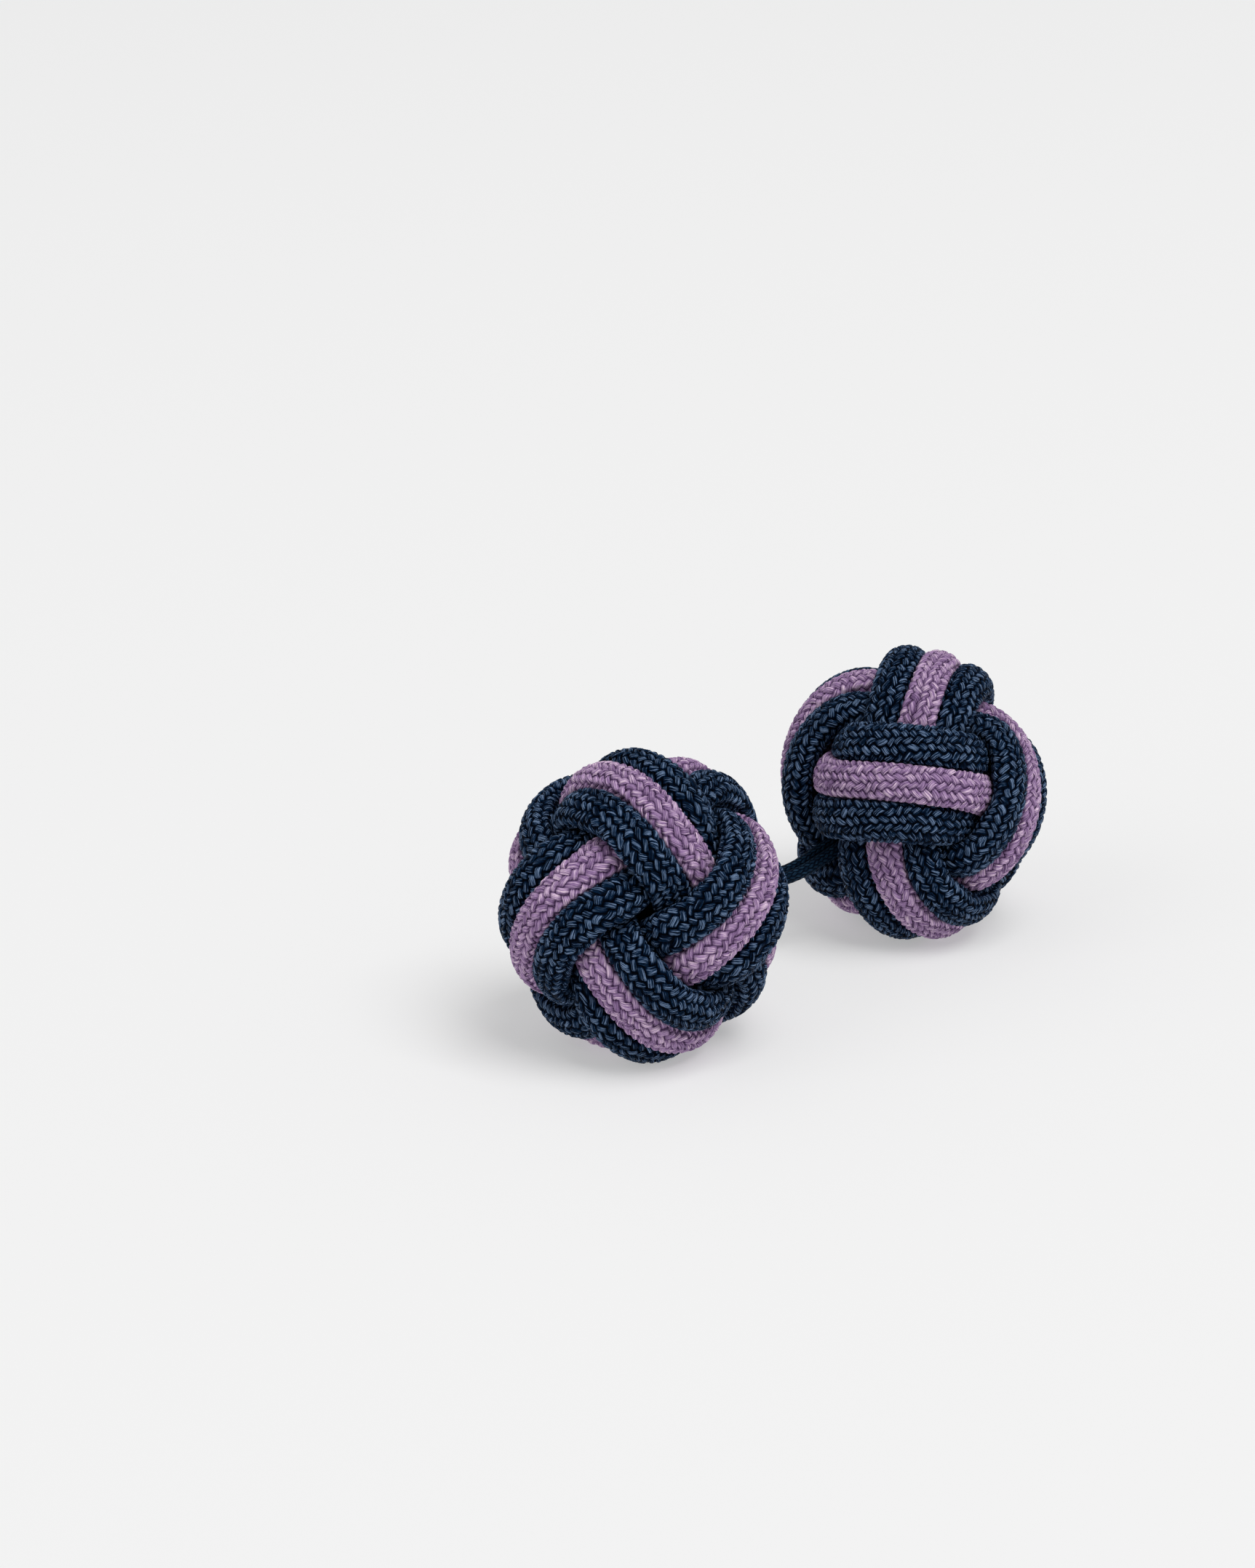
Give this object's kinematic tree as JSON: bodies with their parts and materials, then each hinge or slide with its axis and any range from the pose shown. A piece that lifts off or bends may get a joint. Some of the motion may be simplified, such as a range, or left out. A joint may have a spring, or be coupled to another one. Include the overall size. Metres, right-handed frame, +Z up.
{
  "type": "silk knot cuff button",
  "caption": "Cuff button of two cord knot balls, each woven from navy cords with a lilac cord between them, joined by a short elastic link.",
  "frame": {"origin": "on the surface that the cuff button lies on, under the middle of its outline", "axes": "+X along the pair from the front knot to the back knot, +Z up; the front knot's outer pole faces the picture's camera, towards -X and -Y"},
  "size_m": [0.0314, 0.0126, 0.0135],
  "materials": {
    "navy_cord": "silky braid",
    "lilac_cord": "silky braid",
    "link_cord": "covered elastic",
    "heart": "gathered cord ends"
  },
  "bodies": {
    "root": {"front_navy_a": "navy_cord", "front_lilac": "lilac_cord", "front_navy_b": "navy_cord", "front_heart": "heart", "back_navy_a": "navy_cord", "back_lilac": "lilac_cord", "back_navy_b": "navy_cord", "back_heart": "heart", "link_left": "link_cord", "link_right": "link_cord"}
  },
  "joints": []
}
